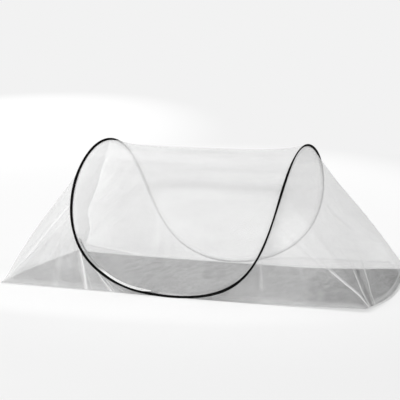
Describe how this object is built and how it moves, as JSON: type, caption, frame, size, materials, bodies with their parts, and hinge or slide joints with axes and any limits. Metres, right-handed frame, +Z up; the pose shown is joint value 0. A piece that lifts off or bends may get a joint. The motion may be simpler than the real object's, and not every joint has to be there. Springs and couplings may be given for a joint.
{
  "type": "mosquito net tent",
  "caption": "Pop-up mosquito net tent: a saddle-shaped spring hoop carries a net roof and two net ends over a grey floor, with a curved side zipper.",
  "frame": {"origin": "on the ground, under the middle of the floor", "axes": "+X along the tent's length, towards its right end seen from the zipped side; +Z up; the zipped side faces -Y"},
  "size_m": [2.076, 1.1241, 0.7593],
  "materials": {
    "net": "fine white polyester netting, see-through",
    "floor_cloth": "plain woven grey cloth, matt",
    "binding": "white woven edge tape",
    "sleeve_tape": "black woven binding tape",
    "zipper_tape": "white knitted zipper tape",
    "zipper_coil": "white nylon coil",
    "spring_steel": "drawn spring wire",
    "zipper_metal": "plated zinc"
  },
  "bodies": {
    "tent": {"floor_panel": "floor_cloth", "front_floor_binding": "binding", "rear_floor_binding": "binding", "left_floor_binding": "binding", "right_floor_binding": "binding", "spring_hoop_wire": "spring_steel", "hoop_ferrule": "spring_steel", "hoop_sleeve": "sleeve_tape", "roof_net": "net", "left_end_net": "net", "right_end_net": "net", "zipper_tape_hoop_side": "zipper_tape", "zipper_tape_door_side": "zipper_tape", "zipper_coil_hoop_side": "zipper_coil", "zipper_coil_door_side": "zipper_coil", "zipper_bottom_stop": "zipper_metal", "zipper_top_stop": "zipper_metal"},
    "slider": {"zipper_slider": "zipper_metal"},
    "outer_tab": {"outer_pull": "zipper_metal"},
    "inner_tab": {"inner_pull": "zipper_metal"}
  },
  "joints": [
    {"name": "zipper_travel", "type": "hinge", "parent": "tent", "child": "slider", "pos_m": [-0.09175, -0.43934, 0.46721], "axis": [-0.2397, 0.9642, -0.1131], "range_deg": [-53, 0]},
    {"name": "outer_pull_swing", "type": "hinge", "parent": "slider", "child": "outer_tab", "pos_m": [-0.46883, -0.56003, 0.27569], "axis": [-0.8729, 0.2205, -0.4352], "range_deg": [0, 110]},
    {"name": "inner_pull_swing", "type": "hinge", "parent": "slider", "child": "inner_tab", "pos_m": [-0.46737, -0.55272, 0.27647], "axis": [0.8729, -0.2205, 0.4352], "range_deg": [0, 108]}
  ]
}
